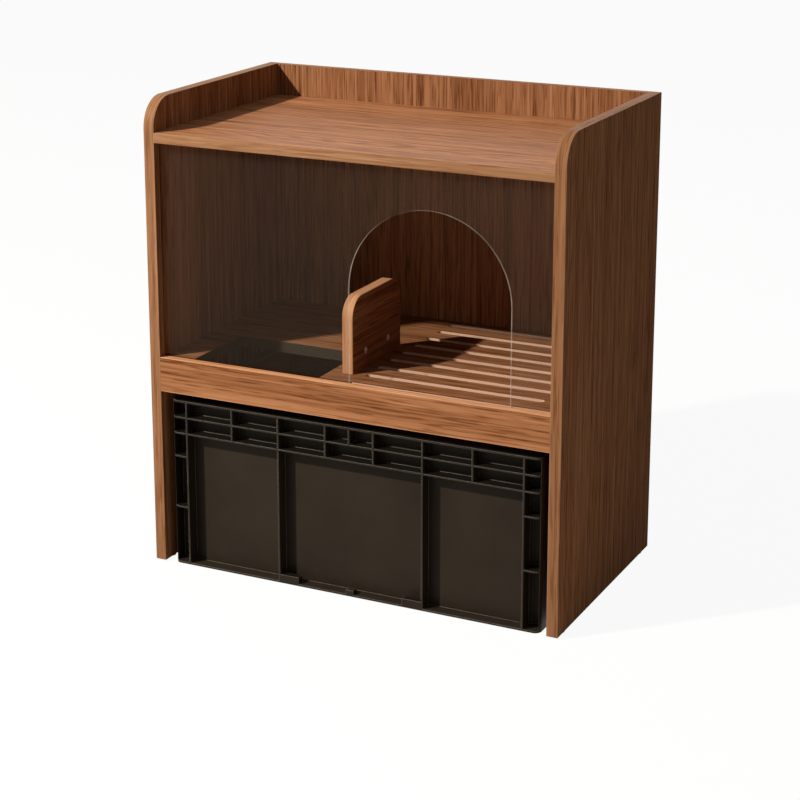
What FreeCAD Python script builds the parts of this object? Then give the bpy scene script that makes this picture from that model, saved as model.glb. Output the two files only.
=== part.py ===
import FreeCAD, Part

import math
import os

# Cat litter box cabinet. Millimetres, +X to the right, +Y to the back, +Z up.
# The origin lies on the ground under the middle of the cabinet.

V = FreeCAD.Vector
X_AXIS = V(1, 0, 0)
Y_AXIS = V(0, 1, 0)
Z_AXIS = V(0, 0, 1)

# ---- cabinet
overall_width = 700.0
overall_depth = 400.0
overall_height = 760.0
panel_thickness = 18.0
top_thickness = 16.0
back_thickness = 9.0
back_lap = 9.0
back_lap_clearance = 0.3
band_thickness = 1.0
corner_radius = 48.0
upstand_height = 53.0
bay_height = 290.0
rail_height = 56.0
cut_margin = 5.0

# ---- acrylic front and its grooves
acrylic_thickness = 4.0
acrylic_clearance = 0.2
groove_depth = 6.0
groove_end_gap = 1.0
rail_rebate_depth = 8.0
doorway_width = 266.0
doorway_top_margin = 64.0
doorway_side_margin = 69.0

# ---- hole in the floor board
hole_width = 222.0
hole_depth = 142.0
hole_side_margin = 54.0
hole_corner_radius = 8.0

# ---- slots in the floor board
slot_count = 8
slot_width = 12.0
slot_side_margin = 34.0
slot_front_margin = 42.5
slot_rear_margin = 24.0

# ---- baffle between the hole and the slots
baffle_length = 166.0
baffle_height = 120.0
baffle_corner_radius = 32.0
baffle_front_gap = 35.0
baffle_hole_gap = 22.0
baffle_slot_gap = 18.0
baffle_lock_height = 27.5
baffle_lock_spacing = 78.0

# ---- cam fittings and dowels
lock_radius = 7.5
small_lock_radius = 5.0
lock_reach = 4.5
lock_distance = 24.0
lock_clearance = 0.15
bolt_thread_radius = 2.5
bolt_thread_length = 11.0
bolt_shank_radius = 3.2
bolt_neck_radius = 2.0
bolt_neck_length = 4.0
bolt_head_radius = 2.8
bolt_head_length = 4.0
bolt_clearance = 0.15
channel_clearance = 0.4
drive_width = 1.4
drive_depth = 2.0
drive_reach_share = 0.6
dowel_radius = 4.0
thin_dowel_radius = 3.0
dowel_length = 30.0
dowel_in_side = 10.0
dowel_end_gap = 1.0
dowel_clearance = 0.1
dowel_edge_gap = 32.0
top_fitting_margin = 60.0
rail_dowel_rise = 10.0
rail_dowel_count = 4

# ---- back panel screws
screw_head_radius = 3.5
screw_head_height = 2.0
screw_shank_radius = 1.75
screw_length = 30.0
screw_clearance = 0.1
screw_edge_margin = 40.0
screw_drive_width = 0.7
screw_drive_reach = 2.4
screw_drive_depth = 1.4
side_screw_count = 5
board_screw_count = 3
board_screw_margin = 166.0

# ---- glides nailed under the side panels
glide_radius = 8.0
glide_height = 2.5
glide_nail_radius = 1.2
glide_nail_length = 14.0
glide_margin = 30.0

# ---- litter box
box_side_gap = 14.0
box_front_recess = 6.0
box_rear_gap = 9.0
box_top_gap = 13.5
box_wall = 3.0
box_floor = 3.0
box_flange = 21.0
box_flange_thickness = 3.0
box_rib = 2.4
box_row_height = 26.5
box_row_count = 2
box_corner_radius = 11.0
box_wall_radius = 12.0
box_front_bays = 7
box_side_bays = 4
box_panel_bays = 2
box_corner_width = 28.0
box_shelf_count = 2
box_shelf_drop = 39.0
box_shelf_spacing = 85.5
box_lug_length = 34.0
box_lug_height = 14.0
box_lug_depth = 12.0
box_middle_lug_length = 13.0
box_middle_lug_height = 10.0

# ---- places worked out from the sizes above
half_width = overall_width / 2
inner_half_width = half_width - panel_thickness
front = -overall_depth / 2
rear = overall_depth / 2
side_foot = glide_height
back_front = rear - back_thickness
top_surface = overall_height - upstand_height
top_underside = top_surface - top_thickness
floor_surface = bay_height + rail_height
floor_underside = floor_surface - panel_thickness
rail_rear = front + panel_thickness

groove_width = acrylic_thickness + 2 * acrylic_clearance
groove_front = rail_rear - groove_width
acrylic_front = groove_front + acrylic_clearance
acrylic_foot = floor_surface - rail_rebate_depth

doorway_right = inner_half_width - doorway_side_margin
doorway_left = doorway_right - doorway_width
doorway_radius = doorway_width / 2
doorway_spring = top_underside - doorway_top_margin - doorway_radius

hole_left = -inner_half_width + hole_side_margin
hole_right = hole_left + hole_width
hole_rear = rail_rear + hole_depth

slot_first = rail_rear + slot_front_margin
slot_pitch = (back_front - slot_rear_margin - slot_first) / (slot_count - 1)

baffle_right = hole_right + baffle_hole_gap + panel_thickness
baffle_middle = baffle_right - panel_thickness / 2
baffle_front = rail_rear + baffle_front_gap
baffle_rear = baffle_front + baffle_length
baffle_centre = (baffle_front + baffle_rear) / 2
slot_left = baffle_right + baffle_slot_gap
slot_right = inner_half_width - slot_side_margin

floor_bolt_height = floor_underside + panel_thickness / 2
top_bolt_height = top_underside + top_thickness / 2
floor_fitting_ys = [slot_first + slot_pitch / 2, back_front - slot_rear_margin - slot_pitch / 2]
top_fitting_ys = [front + top_fitting_margin, back_front - top_fitting_margin]
rail_middle = front + panel_thickness / 2
rail_bolt_height = (bay_height + floor_underside) / 2
rail_dowel_height = floor_underside + dowel_radius + dowel_clearance
joint_dowel_height = floor_underside + rail_dowel_rise / 2
glide_ys = [front + glide_margin, rear - glide_margin]

box_half_width = inner_half_width - box_side_gap
box_front = front + box_front_recess
box_rear = back_front - box_rear_gap
box_top = bay_height - box_top_gap


# ---- basic shapes

def block(x_range, y_range, z_range):
    """Box between two values on each axis."""
    size = [abs(pair[1] - pair[0]) for pair in (x_range, y_range, z_range)]
    corner = V(min(x_range), min(y_range), min(z_range))
    return Part.makeBox(size[0], size[1], size[2], corner)


def rod(radius, start, direction, length):
    """Cylinder from a start point."""
    return Part.makeCylinder(radius, length, start, direction)


def stepped_rod(steps, start, direction):
    """Turned pin: each step is a radius and a length, laid end to end."""
    pieces = []
    reached = 0.0
    for radius, length in steps:
        pieces.append(rod(radius, start + direction * reached, direction, length))
        reached += length
    return fuse(pieces)


def fuse(shapes):
    """One clean solid out of touching shapes."""
    joined = shapes[0]
    if len(shapes) > 1:
        joined = shapes[0].fuse(shapes[1:])
    return joined.removeSplitter()


def cut(shape, tools):
    """The shape less every tool."""
    if not tools:
        return shape
    return shape.cut(tools)


def save(name, solids):
    """Write one node; a list is a group of separate solids."""
    shape = solids
    if isinstance(solids, list):
        shape = Part.makeCompound(solids)
    shape.exportStep("parts/" + name + ".step")


def yz_face(points, x):
    """Face across X; an entry of three points is an arc through them."""
    edges = []
    for item in points:
        if len(item) == 3:
            edges.append(Part.Arc(V(x, *item[0]), V(x, *item[1]), V(x, *item[2])).toShape())
        else:
            edges.append(Part.makeLine(V(x, *item[0]), V(x, *item[1])))
    return Part.Face(Part.Wire(edges))


def upright_edges(solid):
    """Straight edges that run along Z."""
    return [edge for edge in solid.Edges if edge.BoundBox.ZLength > edge.Length / 2]


def rounded_plan(x_half, y_range, radius, bottom, height):
    """Upright prism on a rectangle with rounded corners."""
    solid = block((-x_half, x_half), y_range, (bottom, bottom + height))
    return solid.makeFillet(radius, upright_edges(solid))


# ---- side panels

def side_prism(inset):
    """Side panel outline, drawn in by inset at the front and the top."""
    y_front = front + inset
    z_top = overall_height - inset
    radius = corner_radius - inset
    centre_y = y_front + radius
    centre_z = z_top - radius
    middle = (centre_y - radius * math.cos(math.pi / 4), centre_z + radius * math.sin(math.pi / 4))
    face = yz_face([
        ((y_front, side_foot), (y_front, centre_z)),
        ((y_front, centre_z), middle, (centre_y, z_top)),
        ((centre_y, z_top), (rear, z_top)),
        ((rear, z_top), (rear, side_foot)),
        ((rear, side_foot), (y_front, side_foot)),
    ], inner_half_width)
    return face.extrude(X_AXIS * panel_thickness)


def back_rebate():
    """Room for the back panel in a side panel's rear inner edge."""
    x_range = (inner_half_width - cut_margin, inner_half_width + back_lap + back_lap_clearance)
    return block(x_range, (back_front, rear + cut_margin), (0, overall_height + cut_margin))


def acrylic_side_groove():
    """Upright groove that holds one edge of the acrylic."""
    return block((inner_half_width - cut_margin, inner_half_width + groove_depth),
                 (groove_front, groove_front + groove_width),
                 (acrylic_foot, top_underside + groove_depth))


def side_holes():
    """Holes in a side panel for bolts, dowels and glide nails."""
    tools = []
    for y, z in side_bolt_places():
        tools.append(rod(bolt_thread_radius + bolt_clearance, V(inner_half_width, y, z), X_AXIS,
                         bolt_thread_length))
    for y, z in side_dowel_places():
        tools.append(rod(dowel_radius + dowel_clearance, V(inner_half_width, y, z), X_AXIS, dowel_in_side))
    for y in glide_ys:
        tools.append(rod(glide_nail_radius + bolt_clearance,
                         V(half_width - panel_thickness / 2, y, side_foot),
                         Z_AXIS, glide_nail_length))
    for z in back_screw_heights():
        tools.append(screw_pilot(inner_half_width + back_lap / 2, z))
    return tools


def right_side_panel():
    """Board with its rebate, groove and holes, less the edge banding."""
    tools = [back_rebate(), acrylic_side_groove()]
    return cut(side_prism(band_thickness), tools + side_holes())


def right_side_band():
    """Banding strip up the front edge, round the corner and along the top edge."""
    strip = side_prism(0).cut(side_prism(band_thickness))
    return cut(strip, [back_rebate()])


def mirrored(shape):
    """The same piece on the left side."""
    return shape.mirror(V(0, 0, 0), X_AXIS)


# ---- where the fittings sit

def side_bolt_places():
    """Y and Z of every cam bolt that enters a side panel."""
    places = [(y, top_bolt_height) for y in top_fitting_ys]
    places += [(y, floor_bolt_height) for y in floor_fitting_ys]
    places.append((rail_middle, rail_bolt_height))
    return places


def top_dowel_ys():
    """Dowels of the top board, one towards the middle from each cam bolt."""
    return [top_fitting_ys[0] + dowel_edge_gap, top_fitting_ys[1] - dowel_edge_gap]


def floor_dowel_ys():
    """Dowels of the floor board, one slot pitch in from each cam bolt."""
    return [floor_fitting_ys[0] + slot_pitch, floor_fitting_ys[1] - slot_pitch]


def side_dowel_places():
    """Y and Z of every dowel that enters a side panel."""
    places = [(y, top_bolt_height) for y in top_dowel_ys()]
    places += [(y, floor_bolt_height) for y in floor_dowel_ys()]
    places.append((rail_middle - dowel_clearance, rail_dowel_height))
    return places


def rail_joint_xs():
    """Dowels between the rail and the floor board, beside the hole and along the landing."""
    left = (-inner_half_width + hole_left) / 2
    first = (hole_right + baffle_right) / 2
    spacing = (slot_right - first) / (rail_dowel_count - 1)
    return [left] + [first + spacing * index for index in range(rail_dowel_count)]


def back_screw_heights():
    """Screws up each side edge of the back panel."""
    low = side_foot + screw_edge_margin
    high = top_surface - screw_edge_margin
    spacing = (high - low) / (side_screw_count - 1)
    return [low + spacing * index for index in range(side_screw_count)]


def board_screw_xs():
    """Screws through the back panel into the top board and the floor board."""
    reach = inner_half_width - board_screw_margin
    spacing = 2 * reach / (board_screw_count - 1)
    return [-reach + spacing * index for index in range(board_screw_count)]


def back_screw_places():
    """X and Z of every screw in the back panel."""
    x_side = inner_half_width + back_lap / 2
    places = [(side * x_side, z) for side in (-1, 1) for z in back_screw_heights()]
    places += [(x, z) for x in board_screw_xs() for z in (floor_bolt_height, top_bolt_height)]
    return places


# ---- cam fittings: each is drawn for a bolt that runs along +X or +Z

def cam_bolt(start, direction):
    """Bolt from its threaded end to the head inside the lock."""
    shank = lock_distance - bolt_neck_length - bolt_head_length / 2
    steps = [(bolt_thread_radius, bolt_thread_length), (bolt_shank_radius, shank),
             (bolt_neck_radius, bolt_neck_length), (bolt_head_radius, bolt_head_length)]
    return stepped_rod(steps, start - direction * bolt_thread_length, direction)


def bolt_bore(start, direction):
    """Bore in a board's edge, from the face that the bolt crosses to the lock."""
    return rod(bolt_shank_radius + bolt_clearance, start, direction, lock_distance)


def cam_lock(centre, radius, mouth, towards_bolt, depth):
    """Drum with a channel for the bolt head and a cross in its face.

    centre is the middle of the outer face, mouth points out of the board.
    """
    drum = rod(radius, centre - mouth * depth, mouth, depth)
    width = 2 * (bolt_head_radius + channel_clearance)
    axis_point = centre - mouth * (depth - lock_reach)
    side = mouth.cross(towards_bolt)
    back_of_head = bolt_head_length / 2 + channel_clearance
    corner_a = axis_point - towards_bolt * back_of_head - side * (width / 2) - mouth * (width / 2)
    corner_b = axis_point + towards_bolt * 2 * radius + side * (width / 2) + mouth * (width / 2)
    channel = block((corner_a.x, corner_b.x), (corner_a.y, corner_b.y), (corner_a.z, corner_b.z))
    return cut(drum, [channel] + cross_recess(centre, mouth, towards_bolt, radius))


def cross_recess(centre, mouth, along, radius):
    """Two crossed slots for the screwdriver."""
    slots = []
    for direction in (along, mouth.cross(along)):
        side = mouth.cross(direction)
        reach = radius * drive_reach_share
        corner_a = centre - direction * reach - side * (drive_width / 2) - mouth * drive_depth
        corner_b = centre + direction * reach + side * (drive_width / 2) + mouth * cut_margin
        slots.append(block((corner_a.x, corner_b.x), (corner_a.y, corner_b.y), (corner_a.z, corner_b.z)))
    return slots


def lock_bore(centre, radius, mouth, depth):
    """Blind bore that a lock sits in, its floor under the drum."""
    return rod(radius + lock_clearance, centre - mouth * depth, mouth, depth + cut_margin)


def side_joint_locks(ys, underside):
    """Centres of the four locks in the underside of a level board."""
    x = inner_half_width - lock_distance
    return [V(side * x, y, underside) for side in (-1, 1) for y in ys]


def lock_depth(thickness):
    """Drum depth in a board of this thickness, the bolt at mid-thickness."""
    return thickness / 2 + lock_reach


def level_board_locks(ys, underside, thickness):
    """Locks in a level board, their channels towards the side panels."""
    solids = []
    for centre in side_joint_locks(ys, underside):
        towards = X_AXIS * math.copysign(1, centre.x)
        solids.append(cam_lock(centre, lock_radius, -Z_AXIS, towards, lock_depth(thickness)))
    return solids


def side_bolts(places):
    """Cam bolts out of both side panels at these Y and Z."""
    solids = []
    for side in (-1, 1):
        for y, z in places:
            solids.append(cam_bolt(V(side * inner_half_width, y, z), X_AXIS * -side))
    return solids


def side_dowels(places):
    """Dowels out of both side panels at these Y and Z."""
    solids = []
    for side in (-1, 1):
        for y, z in places:
            start = V(side * (inner_half_width + dowel_in_side), y, z)
            solids.append(rod(dowel_radius, start, X_AXIS * -side, dowel_length))
    return solids


def level_board_holes(ys, dowel_ys, underside, thickness):
    """Bores in a level board for its locks, bolts and dowels."""
    height = underside + thickness / 2
    tools = []
    for centre in side_joint_locks(ys, underside):
        tools.append(lock_bore(centre, lock_radius, -Z_AXIS, lock_depth(thickness)))
    for side in (-1, 1):
        for y in ys:
            tools.append(bolt_bore(V(side * inner_half_width, y, height), X_AXIS * -side))
        for y in dowel_ys:
            tools.append(side_dowel_bore(side, y, height))
    return tools


def side_dowel_bore(side, y, z):
    """Bore in a board's end for a dowel out of the side panel."""
    length = dowel_length - dowel_in_side + dowel_end_gap
    return rod(dowel_radius + dowel_clearance, V(side * inner_half_width, y, z), X_AXIS * -side, length)


# ---- top board

def top_board():
    """Board between the sides, grooved underneath for the acrylic."""
    board = block((-inner_half_width, inner_half_width), (front + band_thickness, back_front),
                  (top_underside, top_surface))
    groove = block((-half_width, half_width), (groove_front, groove_front + groove_width),
                   (top_underside - cut_margin, top_underside + groove_depth))
    tools = [groove] + level_board_holes(top_fitting_ys, top_dowel_ys(), top_underside, top_thickness)
    tools += [screw_pilot(x, top_bolt_height) for x in board_screw_xs()]
    return cut(board, tools)


def top_board_band():
    """Banding on the front edge of the top board."""
    return block((-inner_half_width, inner_half_width), (front, front + band_thickness),
                 (top_underside, top_surface))


# ---- front rail

def front_rail():
    """Apron under the acrylic, rebated behind its upper edge."""
    board = block((-inner_half_width, inner_half_width), (front, rail_rear),
                  (bay_height + band_thickness, floor_surface - band_thickness))
    tools = [rail_rebate()]
    for side in (-1, 1):
        tools.append(lock_bore(rail_lock_centre(side), lock_radius, Y_AXIS, lock_depth(panel_thickness)))
        tools.append(bolt_bore(V(side * inner_half_width, rail_middle, rail_bolt_height), X_AXIS * -side))
        tools.append(side_dowel_bore(side, rail_middle - dowel_clearance, rail_dowel_height))
    for x in rail_joint_xs():
        tools.append(rod(thin_dowel_radius + dowel_clearance, V(x, rail_rear, joint_dowel_height), -Y_AXIS,
                         dowel_in_side))
    return cut(board, tools)


def rail_rebate():
    """Step in the rail's upper rear edge, where the acrylic stands."""
    return block((-half_width, half_width), (groove_front, rail_rear + cut_margin),
                 (acrylic_foot, floor_surface + cut_margin))


def rail_bands():
    """Banding on the rail's upper and lower edges."""
    lower = block((-inner_half_width, inner_half_width), (front, rail_rear),
                  (bay_height, bay_height + band_thickness))
    upper = block((-inner_half_width, inner_half_width), (front, groove_front),
                  (floor_surface - band_thickness, floor_surface))
    return [lower, upper]


def rail_lock_centre(side):
    """Middle of a lock's face on the rear of the rail."""
    return V(side * (inner_half_width - lock_distance), rail_rear, rail_bolt_height)


def rail_locks():
    """Locks in the rear face of the rail."""
    return [cam_lock(rail_lock_centre(side), lock_radius, Y_AXIS, X_AXIS * side, lock_depth(panel_thickness))
            for side in (-1, 1)]


def rail_to_floor_dowels():
    """Thin dowels that line the rail up with the floor board."""
    length = 2 * dowel_in_side
    return [rod(thin_dowel_radius, V(x, rail_rear - dowel_in_side, joint_dowel_height), Y_AXIS, length)
            for x in rail_joint_xs()]


# ---- floor board

def floor_hole():
    """Way down to the litter box, closed in front by the rail."""
    opening = block((hole_left, hole_right), (rail_rear - hole_corner_radius, hole_rear),
                    (floor_underside - cut_margin, floor_surface + cut_margin))
    rear_corners = [edge for edge in upright_edges(opening) if edge.CenterOfMass.y > rail_rear]
    return opening.makeFillet(hole_corner_radius, rear_corners)


def floor_slot(index):
    """One round-ended slot of the landing."""
    y = slot_first + index * slot_pitch
    radius = slot_width / 2
    height = panel_thickness + 2 * cut_margin
    bottom = floor_underside - cut_margin
    middle = block((slot_left + radius, slot_right - radius), (y - radius, y + radius),
                   (bottom, bottom + height))
    ends = [rod(radius, V(x, y, bottom), Z_AXIS, height) for x in (slot_left + radius, slot_right - radius)]
    return fuse([middle] + ends)


def floor_board():
    """Level board with the hole, the slots and the bores of its fittings."""
    board = block((-inner_half_width, inner_half_width), (rail_rear, back_front),
                  (floor_underside, floor_surface))
    tools = [floor_hole()]
    tools += [floor_slot(index) for index in range(slot_count)]
    tools += level_board_holes(floor_fitting_ys, floor_dowel_ys(), floor_underside, panel_thickness)
    for x in rail_joint_xs():
        tools.append(rod(thin_dowel_radius + dowel_clearance, V(x, rail_rear, joint_dowel_height), Y_AXIS,
                         dowel_in_side + dowel_end_gap))
    tools += [screw_pilot(x, floor_bolt_height) for x in board_screw_xs()]
    tools += baffle_foot_holes(-Z_AXIS)
    return cut(board, tools)


# ---- baffle

def baffle_prism(inset):
    """Baffle outline, drawn in by inset at the front, the top and the rear."""
    y_front = baffle_front + inset
    y_rear = baffle_rear - inset
    z_top = floor_surface + baffle_height - inset
    radius = baffle_corner_radius - inset
    swing = radius * math.cos(math.pi / 4)
    z_centre = z_top - radius
    front_middle = (y_front + radius - swing, z_centre + swing)
    rear_middle = (y_rear - radius + swing, z_centre + swing)
    face = yz_face([
        ((y_front, floor_surface), (y_front, z_centre)),
        ((y_front, z_centre), front_middle, (y_front + radius, z_top)),
        ((y_front + radius, z_top), (y_rear - radius, z_top)),
        ((y_rear - radius, z_top), rear_middle, (y_rear, z_centre)),
        ((y_rear, z_centre), (y_rear, floor_surface)),
        ((y_rear, floor_surface), (y_front, floor_surface)),
    ], baffle_right - panel_thickness)
    return face.extrude(X_AXIS * panel_thickness)


def baffle_lock_ys():
    """Y of the two cam locks in the baffle."""
    return [baffle_centre - baffle_lock_spacing / 2, baffle_centre + baffle_lock_spacing / 2]


def baffle_lock_centre(y):
    """Middle of a lock's face on the right of the baffle."""
    return V(baffle_right, y, floor_surface + baffle_lock_height)


def baffle_locks():
    """Small locks, their channels towards the floor board."""
    return [cam_lock(baffle_lock_centre(y), small_lock_radius, X_AXIS, -Z_AXIS, lock_depth(panel_thickness))
            for y in baffle_lock_ys()]


def baffle_bolts():
    """Bolts that stand in the floor board, their heads in the small locks."""
    shank = baffle_lock_height - bolt_neck_length - bolt_head_length / 2
    steps = [(bolt_thread_radius, bolt_thread_length), (bolt_shank_radius, shank),
             (bolt_neck_radius, bolt_neck_length), (bolt_head_radius, bolt_head_length)]
    return [stepped_rod(steps, V(baffle_middle, y, floor_surface - bolt_thread_length), Z_AXIS)
            for y in baffle_lock_ys()]


def baffle_foot_holes(direction):
    """Holes under the baffle: down into the floor board, or up into the baffle."""
    into_floor = direction.z < 0
    dowel_depth = dowel_in_side if into_floor else dowel_in_side + dowel_end_gap
    foot = V(baffle_middle, baffle_centre, floor_surface)
    tools = [rod(dowel_radius + dowel_clearance, foot, direction, dowel_depth)]
    for y in baffle_lock_ys():
        radius = bolt_thread_radius if into_floor else bolt_shank_radius
        depth = bolt_thread_length if into_floor else baffle_lock_height
        tools.append(rod(radius + bolt_clearance, V(baffle_middle, y, floor_surface), direction, depth))
    return tools


def baffle_panel():
    """Board of the baffle, less its banding."""
    tools = baffle_foot_holes(Z_AXIS)
    for y in baffle_lock_ys():
        tools.append(lock_bore(baffle_lock_centre(y), small_lock_radius, X_AXIS,
                               lock_depth(panel_thickness)))
    return cut(baffle_prism(band_thickness), tools)


def baffle_band():
    """Banding round the front, the top and the rear of the baffle."""
    return baffle_prism(0).cut(baffle_prism(band_thickness))


def baffle_dowel():
    """Dowel in the middle of the baffle's foot."""
    start = V(baffle_middle, baffle_centre, floor_surface - dowel_in_side)
    return rod(dowel_radius, start, Z_AXIS, 2 * dowel_in_side)


# ---- back panel

def back_panel():
    """Board let in flush between the side panels."""
    x_half = inner_half_width + back_lap
    board = block((-x_half, x_half), (back_front, rear), (side_foot, overall_height - band_thickness))
    return cut(board, [screw_seat(x, z) for x, z in back_screw_places()])


def back_panel_band():
    """Banding on the top edge of the back panel."""
    x_half = inner_half_width + back_lap
    return block((-x_half, x_half), (back_front, rear), (overall_height - band_thickness, overall_height))


def screw_seat(x, z):
    """Countersunk hole through the back panel."""
    head = Part.makeCone(screw_head_radius + screw_clearance, screw_shank_radius + screw_clearance,
                         screw_head_height, V(x, rear, z), -Y_AXIS)
    return fuse([head, rod(screw_shank_radius + screw_clearance, V(x, rear, z), -Y_AXIS, back_thickness)])


def screw_pilot(x, z):
    """Hole for the screw's point in what lies before the back panel."""
    return rod(screw_shank_radius + screw_clearance, V(x, back_front, z), -Y_AXIS,
               screw_length - back_thickness)


def back_screw(x, z):
    """Countersunk screw with a cross recess."""
    head = Part.makeCone(screw_head_radius, screw_shank_radius, screw_head_height, V(x, rear, z), -Y_AXIS)
    screw = fuse([head, rod(screw_shank_radius, V(x, rear, z), -Y_AXIS, screw_length)])
    half = screw_drive_width / 2
    y_range = (rear - screw_drive_depth, rear + cut_margin)
    across = block((x - screw_drive_reach, x + screw_drive_reach), y_range, (z - half, z + half))
    upright = block((x - half, x + half), y_range, (z - screw_drive_reach, z + screw_drive_reach))
    return cut(screw, [across, upright])


# ---- acrylic front

def doorway():
    """Arched opening, straight up to the spring line and round above it."""
    y_range = (acrylic_front - cut_margin, acrylic_front + acrylic_thickness + cut_margin)
    legs = block((doorway_left, doorway_right), y_range, (acrylic_foot - cut_margin, doorway_spring))
    centre = V(doorway_left + doorway_radius, y_range[0], doorway_spring)
    return fuse([legs, rod(doorway_radius, centre, Y_AXIS, y_range[1] - y_range[0])])


def acrylic_front_panel():
    """Clear sheet held in the grooves of the sides and the top board."""
    half = inner_half_width + groove_depth - groove_end_gap
    sheet = block((-half, half), (acrylic_front, acrylic_front + acrylic_thickness),
                  (acrylic_foot, top_underside + groove_depth - groove_end_gap))
    return sheet.cut(doorway())


# ---- glides

def foot_glides():
    """Plastic glides with a nail each, under both side panels."""
    solids = []
    for x in (-half_width + panel_thickness / 2, half_width - panel_thickness / 2):
        for y in glide_ys:
            disc = rod(glide_radius, V(x, y, 0), Z_AXIS, glide_height)
            nail = rod(glide_nail_radius, V(x, y, 0), Z_AXIS, glide_height + glide_nail_length)
            solids.append(fuse([disc, nail]))
    return solids


# ---- litter box

def box_plan(bottom, height):
    """Plate to the outer lines of the litter box."""
    return rounded_plan(box_half_width, (box_front, box_rear), box_corner_radius, bottom, height)


def box_wall_prism(inset, bottom, height):
    """Prism to the outside of the wall, or further in by inset."""
    shrink = box_flange + inset
    return rounded_plan(box_half_width - shrink, (box_front + shrink, box_rear - shrink),
                        box_wall_radius - inset, bottom, height)


def box_row_bottom(row):
    """Underside of this row of cells, counted from the rim."""
    return box_top - box_flange_thickness - row * box_row_height


def box_plates():
    """Level flanges round the box: the foot, the rim and the shelves of the rows."""
    plates = [box_plan(0.0, box_flange_thickness),
              box_plan(box_top - box_flange_thickness, box_flange_thickness)]
    for row in range(box_row_count):
        plates.append(box_plan(box_row_bottom(row + 1), box_rib))
    return plates


def box_front_ribs():
    """Upright ribs of the two long faces; every other pair runs down to the foot."""
    span = 2 * (box_half_width - box_corner_width)
    bay = span / box_front_bays
    full = (0, box_panel_bays, box_front_bays - box_panel_bays, box_front_bays)
    ribs = []
    for index in range(box_front_bays + 1):
        bottom = 0.0 if index in full else box_row_bottom(box_row_count)
        ribs.append(box_y_rib(-span / 2 + index * bay, bottom))
    ribs.append(box_y_rib(0.0, box_row_bottom(1)))
    return ribs


def box_y_rib(x, bottom):
    """Plate across the box from front outline to rear outline."""
    return block((x - box_rib / 2, x + box_rib / 2), (box_front, box_rear), (bottom, box_top))


def box_side_ribs():
    """Upright ribs of the two short faces."""
    length = box_rear - box_front - 2 * box_corner_width
    bay = length / box_side_bays
    ribs = []
    for index in range(box_side_bays + 1):
        y = box_front + box_corner_width + index * bay
        bottom = 0.0 if index % box_panel_bays == 0 else box_row_bottom(box_row_count)
        ribs.append(block((-box_half_width, box_half_width), (y - box_rib / 2, y + box_rib / 2),
                          (bottom, box_top)))
    return ribs


def box_corner_areas():
    """Upright blocks that cover the four corners."""
    areas = []
    for side in (-1, 1):
        x_range = (side * (box_half_width - box_corner_width), side * box_half_width)
        for y in (box_front, box_rear - box_corner_width):
            areas.append(block(x_range, (y, y + box_corner_width), (0, box_top)))
    return areas


def box_corner_shelves():
    """Short level ribs that stiffen the four corners."""
    shelves = []
    for index in range(box_shelf_count):
        bottom = box_row_bottom(box_row_count) - box_shelf_drop - index * box_shelf_spacing
        plate = box_plan(bottom, box_rib)
        shelves += [plate.common(area) for area in box_corner_areas()]
    return shelves


def box_corner_posts():
    """Upright strips that close the corners towards the short faces."""
    inner = block((-box_half_width + box_rib, box_half_width - box_rib), (box_front, box_rear),
                  (0.0, box_top))
    skin = box_plan(0.0, box_top).cut(inner)
    return [skin.common(area) for area in box_corner_areas()]


def box_lugs():
    """Stops on the foot flange: one beside each middle rib and a low one between them."""
    span = 2 * (box_half_width - box_corner_width)
    rib = span / 2 - box_panel_bays * span / box_front_bays
    half = box_middle_lug_length / 2
    lugs = []
    for y_range in ((box_front, box_front + box_lug_depth), (box_rear - box_lug_depth, box_rear)):
        for side in (-1, 1):
            lugs.append(block((side * rib, side * (rib - box_lug_length)), y_range, (0, box_lug_height)))
        lugs.append(block((-half, half), y_range, (0, box_middle_lug_height)))
    return lugs


def litter_box():
    """Ribbed crate, open at the top."""
    outside = [box_wall_prism(0, 0, box_top)] + box_plates() + box_front_ribs() + box_side_ribs()
    outside += box_corner_shelves() + box_corner_posts() + box_lugs()
    return fuse(outside).cut(box_wall_prism(box_wall, box_floor, box_top))


# ---- every node

def main():
    os.makedirs("parts", exist_ok=True)

    right_panel = right_side_panel()
    right_band = right_side_band()
    save("side_panel_right", right_panel)
    save("side_panel_left", mirrored(right_panel))
    save("side_edge_band_right", right_band)
    save("side_edge_band_left", mirrored(right_band))

    save("top_board", top_board())
    save("top_board_edge_band", top_board_band())
    save("top_board_cam_locks", level_board_locks(top_fitting_ys, top_underside, top_thickness))
    save("top_board_cam_bolts", side_bolts([(y, top_bolt_height) for y in top_fitting_ys]))
    save("top_board_dowels", side_dowels([(y, top_bolt_height) for y in top_dowel_ys()]))

    save("front_rail", front_rail())
    save("front_rail_edge_bands", rail_bands())
    save("front_rail_cam_locks", rail_locks())
    save("front_rail_cam_bolts", side_bolts([(rail_middle, rail_bolt_height)]))
    save("front_rail_dowels", side_dowels([(rail_middle - dowel_clearance, rail_dowel_height)]))
    save("rail_to_floor_dowels", rail_to_floor_dowels())

    save("floor_board", floor_board())
    save("floor_board_cam_locks", level_board_locks(floor_fitting_ys, floor_underside, panel_thickness))
    save("floor_board_cam_bolts", side_bolts([(y, floor_bolt_height) for y in floor_fitting_ys]))
    save("floor_board_dowels", side_dowels([(y, floor_bolt_height) for y in floor_dowel_ys()]))

    save("baffle_panel", baffle_panel())
    save("baffle_edge_band", baffle_band())
    save("baffle_cam_locks", baffle_locks())
    save("baffle_cam_bolts", baffle_bolts())
    save("baffle_dowel", baffle_dowel())

    save("back_panel", back_panel())
    save("back_panel_edge_band", back_panel_band())
    save("back_panel_screws", [back_screw(x, z) for x, z in back_screw_places()])

    save("acrylic_front_panel", acrylic_front_panel())
    save("foot_glides", foot_glides())
    save("litter_box", litter_box())


main()
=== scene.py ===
import math

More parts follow.
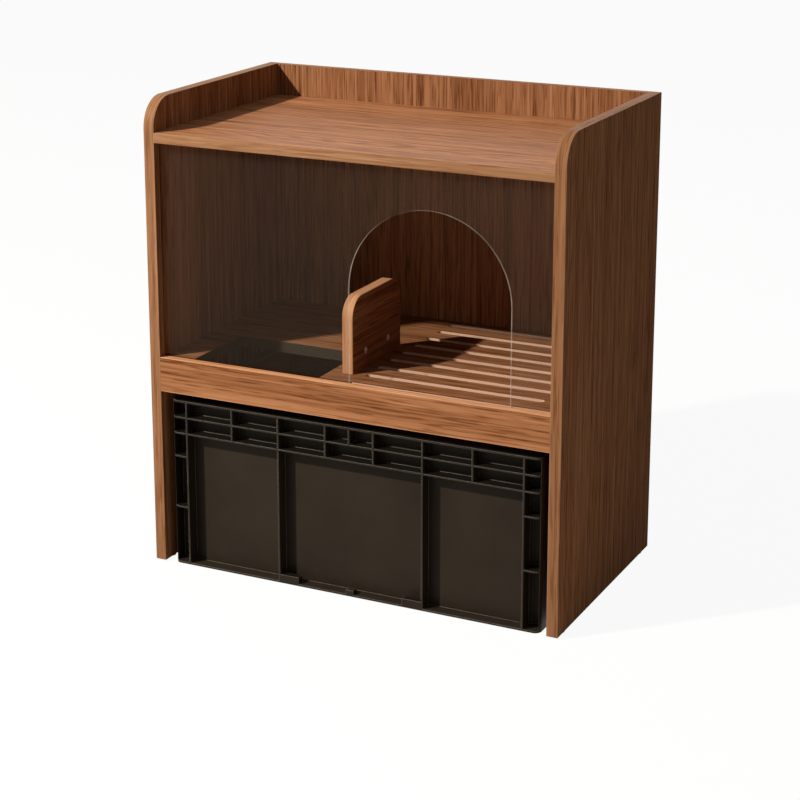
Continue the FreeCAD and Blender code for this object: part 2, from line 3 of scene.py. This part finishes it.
import bmesh
import bpy
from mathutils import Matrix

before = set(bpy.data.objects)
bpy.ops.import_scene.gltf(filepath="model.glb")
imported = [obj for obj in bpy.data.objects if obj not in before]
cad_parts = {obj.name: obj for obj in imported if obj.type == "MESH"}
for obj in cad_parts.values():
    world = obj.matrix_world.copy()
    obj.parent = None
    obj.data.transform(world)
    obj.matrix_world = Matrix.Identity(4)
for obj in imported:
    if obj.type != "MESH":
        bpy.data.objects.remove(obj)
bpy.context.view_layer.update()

# ---- named values

# The camera stands where the photograph's did, worked out from the cabinet's straight edges.
camera_place = (1.3711, -2.8249, 1.2995)
camera_pitch = math.radians(14.162)
camera_yaw = math.radians(26.007)
camera_lens = 92.27
camera_sensor = 36.0
camera_shift = -0.1834

# The key light's travel, read from the shadows of the baffle and the top board on the slots.
key_travel = (0.94, 1.09, -1.07)
key_aim = (0.0, 0.0, 0.40)
key_distance = 6.0
key_power = 525.0
key_size = 0.22
key_colour = (1.0, 0.955, 0.9)

# The world's even light on the cabinet.
fill_colour = (1.0, 0.985, 0.965)
fill_strength = 0.19

# The floor lies just under the cabinet. What is seen of it is mostly plain white, and the rest is
# a pale paint that keeps the shadow; the light it throws back is duller and warmer.
stage_radius = 24.0
stage_sides = 96
stage_drop = 0.0004
stage_dull = ((0.39, 0.35, 0.30), (0.42, 0.38, 0.33))
stage_paint = (0.95, 0.95, 0.95)
stage_white = 0.93
plain_white = (1.0, 1.0, 1.0)

# Most of a noise lies between these two values.
noise_low = 0.3
noise_high = 0.7

# Walnut print, from its dark lines to its pale fibres, and the paler tones of its edge banding.
walnut_dark = (0.118, 0.040, 0.0145)
walnut_mid = (0.262, 0.103, 0.041)
walnut_light = (0.395, 0.175, 0.079)
walnut_pale = (0.50, 0.248, 0.122)
board_gloss = 0.02
band_pale = (0.66, 0.38, 0.21)
# Painted highlight along the banding's eased edges, and how much of it shows.
band_highlight_colour = (0.62, 0.37, 0.23)
band_highlight_share = 0.55
band_figure = 0.10
band_gloss = 0.012

# The print's layers: how finely each repeats across and along the grain, in a metre.
tone_scale = (4.5, 0.5)
figure_scale = (7.0, 0.62)
streak_scale = (58.0, 1.1)
vein_scale = (170.0, 2.2)
fibre_scale = (420.0, 5.0)
pore_scale = (400.0, 17.0)

# How much each layer adds to the print's brightness, and what brings the sum back to the middle.
tone_share = 0.55
streak_share = 0.75
vein_share = 0.95
fibre_share = 0.90
pore_share = 0.30
print_offset = -1.015
figure_offset = 0.35

# The figure's rings are a wave over a slow noise, and its dark lines are the wave's crests.
ring_count = 260.0
ring_sharpness = 2.5

# Each board's print starts elsewhere, by its seed times this.
seed_step = (1.37, 2.11, 0.73)

# Cuts right of here are the narrow slots, with bare core; the hole left of it has painted shade on its
# cut edge.
slot_start = 0.0
core_tones = ((0.54, 0.33, 0.225), (0.66, 0.42, 0.30))
hole_shade_tones = ((0.032, 0.025, 0.018), (0.045, 0.036, 0.027))

beech_tones = ((0.50, 0.33, 0.19), (0.68, 0.49, 0.31))
beech_fleck = (0.34, 0.20, 0.11)

# Level faces of the crate above this height are its ledges and rim, which get painted shade; below it
# is its floor.
ledge_start = 0.012
crate_tones = ((0.0200, 0.0138, 0.0086), (0.0275, 0.0195, 0.0126))
crate_ledge_shade = (0.0085, 0.0064, 0.0046)
# Painted highlight along the crate's edges.
crate_edge_highlight = (0.29, 0.275, 0.245)
crate_gloss = 0.09

glide_tones = ((0.20, 0.19, 0.175), (0.27, 0.26, 0.24))
zinc_tones = ((0.66, 0.66, 0.64), (0.86, 0.86, 0.83))
steel_tones = ((0.48, 0.48, 0.48), (0.70, 0.70, 0.69))
metal_share = 0.5

acrylic_clear = (0.965, 0.968, 0.965)
acrylic_mirror = (0.95, 0.87, 0.76)
acrylic_mirror_share = 0.12
acrylic_film = (0.95, 0.66, 0.44)
acrylic_film_share = 0.007
acrylic_rim_tones = ((0.50, 0.44, 0.36), (0.76, 0.69, 0.59))
acrylic_rim_lit = 0.6
acrylic_rim_share = 0.4
acrylic_index = 1.49

# How far sharp edges are eased, as the eye sees them.
board_ease = 0.0007
band_ease = 0.0009
crate_ease = 0.0009
glide_ease = 0.0005
metal_ease = 0.0004


# ---- node building

class Tree:
    """The node tree of a material or world, emptied, and short ways to add to it."""

    def __init__(self, owner, output="ShaderNodeOutputMaterial"):
        self.owner = owner
        owner.use_nodes = True
        self.nodes = owner.node_tree.nodes
        self.links = owner.node_tree.links
        self.nodes.clear()
        self.output = self.nodes.new(output)

    def add(self, kind, values=None, **settings):
        """A node with its settings, and its inputs set or linked."""
        node = self.nodes.new(kind)
        for key, value in settings.items():
            setattr(node, key, value)
        for key, value in (values or {}).items():
            self.put(node.inputs[key], value)
        return node

    def put(self, socket, value):
        """Link an output to a socket, or write a plain value on it."""
        if isinstance(value, bpy.types.NodeSocket):
            self.links.new(value, socket)
        elif isinstance(value, tuple) and len(value) == 3 and socket.type == "RGBA":
            socket.default_value = (*value, 1.0)
        else:
            socket.default_value = value

    def maths(self, operation, *values, clamp=False):
        """One operation on up to three values or links."""
        return self.add("ShaderNodeMath", dict(enumerate(values)), operation=operation,
                        use_clamp=clamp).outputs[0]

    def place(self):
        """Object coordinates, in metres, the same as the cabinet's own frame."""
        return self.add("ShaderNodeTexCoord").outputs["Object"]

    def facing(self):
        """The X, Y and Z of the way that a face looks, in the cabinet's own frame."""
        return self.axes(self.add("ShaderNodeTexCoord").outputs["Normal"])

    def axes(self, vector):
        return self.add("ShaderNodeSeparateXYZ", {0: vector}).outputs

    def scaled(self, vector, scale, shift=(0.0, 0.0, 0.0)):
        node = self.add("ShaderNodeMapping", {"Vector": vector, "Scale": scale, "Location": shift})
        return node.outputs[0]

    def noise(self, vector, detail=2.0, roughness=0.5, distortion=0.0, scale=1.0):
        node = self.add("ShaderNodeTexNoise", {"Vector": vector, "Scale": scale, "Detail": detail,
                                               "Roughness": roughness, "Distortion": distortion})
        return node.outputs["Fac"]

    def spread(self, value, low, high, to_low=0.0, to_high=1.0):
        """A range of the value stretched to another range, and held to its ends."""
        node = self.add("ShaderNodeMapRange", {"Value": value, "From Min": low, "From Max": high,
                                               "To Min": to_low, "To Max": to_high}, clamp=True)
        return node.outputs[0]

    def shine(self, noise, low, high):
        """Roughness that follows a noise."""
        return self.spread(noise, noise_low, noise_high, low, high)

    def ramp(self, value, stops):
        node = self.add("ShaderNodeValToRGB", {"Fac": value})
        elements = node.color_ramp.elements
        while len(elements) < len(stops):
            elements.new(0.5)
        for element, (position, colour) in zip(elements, stops):
            element.position = position
            element.color = (*colour, 1.0)
        return node.outputs["Color"]

    def mottle(self, noise, tones):
        """Colour that follows a noise from a dark to a light tone."""
        dark, light = tones
        return self.ramp(noise, [(noise_low, dark), (noise_high, light)])

    def mix(self, factor, first, second):
        """Two colours mixed."""
        node = self.add("ShaderNodeMix", data_type="RGBA")
        self.put(node.inputs[0], factor)
        self.put(node.inputs[6], first)
        self.put(node.inputs[7], second)
        return node.outputs[2]

    def bump(self, height, strength, distance, normal=None):
        """The normal, roughened by a height."""
        values = {"Height": height, "Strength": strength, "Distance": distance}
        if normal is not None:
            values["Normal"] = normal
        return self.add("ShaderNodeBump", values).outputs[0]

    def rounded(self, radius):
        """Normal of the surface with its edges eased to this radius."""
        return self.add("ShaderNodeBevel", {"Radius": radius}, samples=4).outputs[0]

    def edges(self, rounded_normal, low, high):
        """1 along an edge, 0 on the flat."""
        flat = self.add("ShaderNodeNewGeometry").outputs["Normal"]
        dot = self.add("ShaderNodeVectorMath", {0: rounded_normal, 1: flat}, operation="DOT_PRODUCT")
        return self.spread(dot.outputs["Value"], 1.0 - low, 1.0 - high)

    def seen_directly(self):
        """1 for the rays of the camera, a mirror or glass, and 0 for the rest."""
        path = self.add("ShaderNodeLightPath").outputs
        seen = self.maths("MAXIMUM", path["Is Camera Ray"], path["Is Glossy Ray"])
        return self.maths("MAXIMUM", seen, path["Is Transmission Ray"])

    def shader(self, kind, values):
        return self.add(kind, values).outputs[0]

    def blend(self, factor, first, second):
        """Two shaders mixed."""
        return self.shader("ShaderNodeMixShader", {0: factor, 1: first, 2: second})

    def close(self, shader):
        """The shader on the output, and the finished material or world."""
        self.links.new(shader, self.output.inputs["Surface"])
        return self.owner

    def principled(self, values):
        return self.close(self.shader("ShaderNodeBsdfPrincipled", values))


def new_tree(name):
    return Tree(bpy.data.materials.new(name))


# ---- wood

def grain_value(tree, place, grain, seed, figure_share):
    """Brightness of the walnut print, its streaks, and the relief of its fibres and pores."""
    shift = tuple(seed * step for step in seed_step)

    def layer(scale, detail, roughness=0.5, distortion=0.0):
        across, along = scale
        drawn_out = tuple(along if axis == grain else across for axis in "XYZ")
        return tree.noise(tree.scaled(place, drawn_out, shift), detail, roughness, distortion)

    tone = layer(tone_scale, 2.0)
    field = layer(figure_scale, 1.0, distortion=0.15)
    rings = tree.maths("SINE", tree.maths("MULTIPLY", field, ring_count))
    lines = tree.maths("POWER", tree.spread(rings, -1.0, 1.0), ring_sharpness)
    streaks = layer(streak_scale, 3.0, 0.6)
    veins = layer(vein_scale, 2.0, 0.6)
    fibres = layer(fibre_scale, 3.0, 0.66)
    pores = tree.spread(layer(pore_scale, 1.0), 0.54, 0.64)

    value = tree.maths("MULTIPLY_ADD", tone, tone_share, print_offset + figure_share * figure_offset)
    value = tree.maths("MULTIPLY_ADD", streaks, streak_share, value)
    value = tree.maths("MULTIPLY_ADD", veins, vein_share, value)
    value = tree.maths("MULTIPLY_ADD", fibres, fibre_share, value)
    value = tree.maths("MULTIPLY_ADD", lines, -figure_share, value)
    value = tree.maths("SUBTRACT", value, tree.maths("MULTIPLY", pores, pore_share), clamp=True)
    relief = tree.maths("SUBTRACT", fibres, pores)
    return value, streaks, relief


def tinted(stops, tint):
    """Colour stops, each made darker or paler by one share."""
    return [(at, tuple(part * tint for part in colour)) for at, colour in stops]


def cut_walls(tree, colour):
    """The printed colour, with pale fibreboard in the slots and painted shade on the hole's cut edge.
    """
    place = tree.place()
    wall = tree.spread(tree.maths("ABSOLUTE", tree.facing()["Z"]), 0.7, 0.3)
    slotted = tree.maths("GREATER_THAN", tree.axes(place)["X"], slot_start)
    chips = tree.noise(place, 3.0, 0.7, scale=900.0)
    # Painted shade on the hole's cut edge; bare core in the slots.
    cut = tree.mix(slotted, tree.mottle(chips, hole_shade_tones), tree.mottle(chips, core_tones))
    return tree.mix(wall, colour, cut)


def walnut(name, grain, seed, figure, tint=1.0, gloss=board_gloss, slots=False):
    """Walnut-printed melamine board: satin, with a faint pore texture."""
    tree = new_tree(name)
    value, streaks, relief = grain_value(tree, tree.place(), grain, seed, figure)
    stops = [(0.0, walnut_dark), (0.38, walnut_mid), (0.68, walnut_light), (1.0, walnut_pale)]
    colour = tree.ramp(value, tinted(stops, tint))
    if slots:
        colour = cut_walls(tree, colour)
    normal = tree.bump(relief, 0.22, 0.0004, tree.rounded(board_ease))
    return tree.principled({"Base Color": colour, "Roughness": tree.shine(streaks, 0.36, 0.48),
                            "Normal": normal, "Specular IOR Level": gloss})


def banding(name, along, seed, tint=0.62):
    """Edge strip whose grain runs along X, or along a path that turns from Y to Z."""
    tree = new_tree(name)
    axes = tree.axes(tree.place())
    if along == "path":
        run = tree.maths("ADD", axes["Y"], axes["Z"])
        across = axes["X"]
    else:
        run = axes["X"]
        across = tree.maths("ADD", axes["Y"], axes["Z"])
    place = tree.add("ShaderNodeCombineXYZ", {"X": across, "Z": run}).outputs[0]
    value, streaks, relief = grain_value(tree, place, "Z", seed, band_figure)
    stops = [(0.08, walnut_mid), (0.38, walnut_light), (0.72, walnut_pale), (1.0, band_pale)]
    eased = tree.rounded(band_ease)
    # Painted highlight: the strip's eased edges are paler.
    painted_highlight = tree.maths("MULTIPLY", tree.edges(eased, 0.02, 0.25), band_highlight_share)
    colour = tree.mix(painted_highlight, tree.ramp(value, tinted(stops, tint)), band_highlight_colour)
    return tree.principled({"Base Color": colour, "Roughness": tree.shine(streaks, 0.32, 0.42),
                            "Normal": tree.bump(relief, 0.18, 0.0003, eased),
                            "Specular IOR Level": band_gloss})


def beech(name):
    """Pale turned dowel."""
    tree = new_tree(name)
    place = tree.place()
    fine = tree.noise(tree.scaled(place, (40.0, 400.0, 400.0)), 3.0, 0.6)
    flecks = tree.spread(tree.noise(tree.scaled(place, (160.0, 900.0, 900.0)), 1.0), 0.6, 0.7)
    colour = tree.mix(tree.maths("MULTIPLY", flecks, 0.35), tree.mottle(fine, beech_tones), beech_fleck)
    return tree.principled({"Base Color": colour, "Roughness": tree.shine(fine, 0.55, 0.7),
                            "Normal": tree.bump(fine, 0.3, 0.0003)})


# ---- plastic, metal, acrylic

def crate_plastic(name):
    """Moulded polypropylene: satin, with a painted highlight along its edges and painted shade on its
    ledges.
    """
    tree = new_tree(name)
    place = tree.place()
    eased = tree.rounded(crate_ease)
    edge = tree.edges(eased, 0.0, 0.22)
    cloud = tree.noise(place, 3.0, 0.55, scale=9.0)
    skin = tree.noise(place, 2.0, 0.6, scale=1500.0)
    scuff = tree.noise(tree.scaled(place, (40.0, 40.0, 7.0)), 4.0, 0.65)
    # Painted shade: level faces above the crate's floor, its ledges and rim, are darker.
    level = tree.spread(tree.facing()["Z"], 0.5, 0.9)
    raised = tree.maths("GREATER_THAN", tree.axes(place)["Z"], ledge_start)
    body = tree.mix(tree.maths("MULTIPLY", level, raised), tree.mottle(cloud, crate_tones), crate_ledge_shade)
    # Painted highlight along the edges, stronger in patches.
    edge_highlight_mask = tree.maths("MULTIPLY", edge, tree.spread(scuff, 0.3, 0.6, 0.60, 0.95))
    return tree.principled({"Base Color": tree.mix(edge_highlight_mask, body, crate_edge_highlight),
                            "Roughness": tree.spread(scuff, 0.35, 0.65, 0.36, 0.50),
                            "Normal": tree.bump(skin, 0.10, 0.0002, eased),
                            "Specular IOR Level": crate_gloss})


def glide_plastic(name):
    """Grey nylon with a faint mottle."""
    tree = new_tree(name)
    grains = tree.noise(tree.place(), 3.0, 0.6, scale=300.0)
    return tree.principled({"Base Color": tree.mottle(grains, glide_tones),
                            "Roughness": tree.shine(grains, 0.45, 0.6),
                            "Normal": tree.bump(grains, 0.15, 0.0002, tree.rounded(glide_ease))})


def metal(name, tones, low, high, scale):
    """Plated metal with cast or turned marks."""
    tree = new_tree(name)
    marks = tree.noise(tree.place(), 4.0, 0.65, scale=scale)
    return tree.principled({"Base Color": tree.mottle(marks, tones),
                            "Roughness": tree.shine(marks, low, high),
                            "Normal": tree.bump(marks, 0.12, 0.0002, tree.rounded(metal_ease)),
                            "Metallic": metal_share})


def acrylic(name):
    """Clear cast sheet: a faint film and a little mirror on its faces, glowing edges."""
    tree = new_tree(name)
    place = tree.place()

    outside = tree.maths("SUBTRACT", 1.0, tree.add("ShaderNodeNewGeometry").outputs["Backfacing"])
    fresnel = tree.add("ShaderNodeFresnel", {"IOR": acrylic_index}).outputs[0]
    sheen = tree.maths("MULTIPLY", fresnel, acrylic_mirror_share)
    sheen = tree.maths("MULTIPLY", sheen, outside, clamp=True)
    wipes = tree.noise(tree.scaled(place, (14.0, 1.0, 22.0)), 4.0, 0.6)
    blur = tree.spread(wipes, 0.4, 0.7, 0.015, 0.06)
    clear = tree.shader("ShaderNodeBsdfTransparent", {"Color": acrylic_clear})
    film = tree.shader("ShaderNodeBsdfDiffuse", {"Color": acrylic_film})
    mirror = tree.shader("ShaderNodeBsdfGlossy", {"Color": acrylic_mirror, "Roughness": blur})
    face = tree.blend(sheen, tree.blend(acrylic_film_share, clear, film), mirror)

    polish = tree.noise(tree.scaled(place, (60.0, 500.0, 60.0)), 2.0)
    glow = tree.mottle(polish, acrylic_rim_tones)
    solid = tree.shader("ShaderNodeBsdfPrincipled", {"Base Color": glow, "Roughness": 0.12,
                                                     "IOR": acrylic_index})
    lit = tree.shader("ShaderNodeBsdfTranslucent", {"Color": glow})
    rim = tree.blend(acrylic_rim_share, clear, tree.blend(acrylic_rim_lit, solid, lit))

    on_rim = tree.spread(tree.maths("ABSOLUTE", tree.facing()["Y"]), 0.7, 0.3)
    return tree.close(tree.blend(on_rim, face, rim))


# ---- stage

def stage_floor():
    """Wide pale floor, white to the camera and still dimmed by the shadow."""
    mesh = bpy.data.meshes.new("stage_floor")
    form = bmesh.new()
    bmesh.ops.create_circle(form, cap_ends=True, segments=stage_sides, radius=stage_radius)
    form.to_mesh(mesh)
    form.free()
    floor = bpy.data.objects.new("stage_floor", mesh)
    bpy.context.scene.collection.objects.link(floor)
    floor.location = (0.0, 0.0, -stage_drop)
    tree = new_tree("stage_floor")
    clouds = tree.noise(tree.place(), 3.0, scale=5.0)
    dull = tree.shader("ShaderNodeBsdfDiffuse", {"Color": tree.mottle(clouds, stage_dull)})
    paint = tree.shader("ShaderNodeBsdfDiffuse", {"Color": stage_paint})
    white = tree.shader("ShaderNodeEmission", {"Color": plain_white, "Strength": 1.0})
    seen = tree.blend(stage_white, paint, white)
    mesh.materials.append(tree.close(tree.blend(tree.seen_directly(), dull, seen)))


def make_world():
    """Even light, and plain white where the camera, a mirror or glass shows the world."""
    tree = Tree(bpy.data.worlds.new("studio"), "ShaderNodeOutputWorld")
    fill = tree.shader("ShaderNodeBackground", {"Color": fill_colour, "Strength": fill_strength})
    seen = tree.shader("ShaderNodeBackground", {"Color": plain_white, "Strength": 1.0})
    bpy.context.scene.world = tree.close(tree.blend(tree.seen_directly(), fill, seen))


def make_key_light():
    """Small square lamp, high on the front left, that throws crisp shadows."""
    length = math.hypot(*key_travel)
    data = bpy.data.lights.new("key", "AREA")
    data.shape = "SQUARE"
    data.size = key_size
    data.energy = key_power
    data.color = key_colour
    lamp = bpy.data.objects.new("key", data)
    lamp.location = tuple(aim - key_distance * part / length for aim, part in zip(key_aim, key_travel))
    right, back, up = key_travel
    lamp.rotation_euler = (math.atan2(math.hypot(right, back), -up), 0.0, math.atan2(-right, back))
    bpy.context.scene.collection.objects.link(lamp)


def make_camera():
    data = bpy.data.cameras.new("camera")
    data.lens = camera_lens
    data.sensor_width = camera_sensor
    data.shift_y = camera_shift
    camera = bpy.data.objects.new("camera", data)
    camera.location = camera_place
    camera.rotation_euler = (math.pi / 2 - camera_pitch, 0.0, camera_yaw)
    bpy.context.scene.collection.objects.link(camera)
    bpy.context.scene.camera = camera


# ---- materials on the nodes

def dress():
    """A material for every node of the frame."""
    zinc = metal("zinc_plate", zinc_tones, 0.22, 0.36, 700.0)
    steel = metal("steel_plate", steel_tones, 0.25, 0.40, 900.0)
    dowel = beech("beech")
    looks = {
        "side_panel_left": walnut("walnut_side_left", "Z", 1.0, 0.10, tint=0.84, gloss=0.001),
        "side_panel_right": walnut("walnut_side_right", "Z", 2.0, 0.10, tint=0.84, gloss=0.001),
        "back_panel": walnut("walnut_back", "Z", 3.0, 0.08, tint=0.76, gloss=0.05),
        "top_board": walnut("walnut_top", "X", 4.0, 0.14, tint=1.08, gloss=0.06),
        "front_rail": walnut("walnut_rail", "X", 5.0, 0.06),
        "floor_board": walnut("walnut_floor", "X", 6.0, 0.14, tint=0.67, slots=True),
        # The baffle's print is darkened as painted shade.
        "baffle_panel": walnut("walnut_baffle", "Y", 7.0, 0.10, tint=0.75),
        "side_edge_band_left": banding("band_side_left", "path", 11.0),
        "side_edge_band_right": banding("band_side_right", "path", 12.0),
        # The baffle's banding is printed paler than the other bands as painted light.
        "baffle_edge_band": banding("band_baffle", "path", 13.0, tint=0.95),
        "top_board_edge_band": banding("band_top", "X", 14.0),
        # The rail's banding is printed paler than the other bands as a painted highlight along the
        # rail's top edge.
        "front_rail_edge_bands": banding("band_rail", "X", 15.0, tint=1.3),
        "back_panel_edge_band": banding("band_back", "X", 16.0),
        "acrylic_front_panel": acrylic("acrylic_sheet"),
        "litter_box": crate_plastic("crate_plastic"),
        "foot_glides": glide_plastic("glide_nylon"),
    }
    for name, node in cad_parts.items():
        if name in looks:
            look = looks[name]
        elif "dowel" in name:
            look = dowel
        elif "lock" in name:
            look = zinc
        else:
            look = steel
        node.data.materials.clear()
        node.data.materials.append(look)


make_camera()
make_world()
make_key_light()
stage_floor()
dress()
bpy.context.scene.view_settings.view_transform = "Standard"
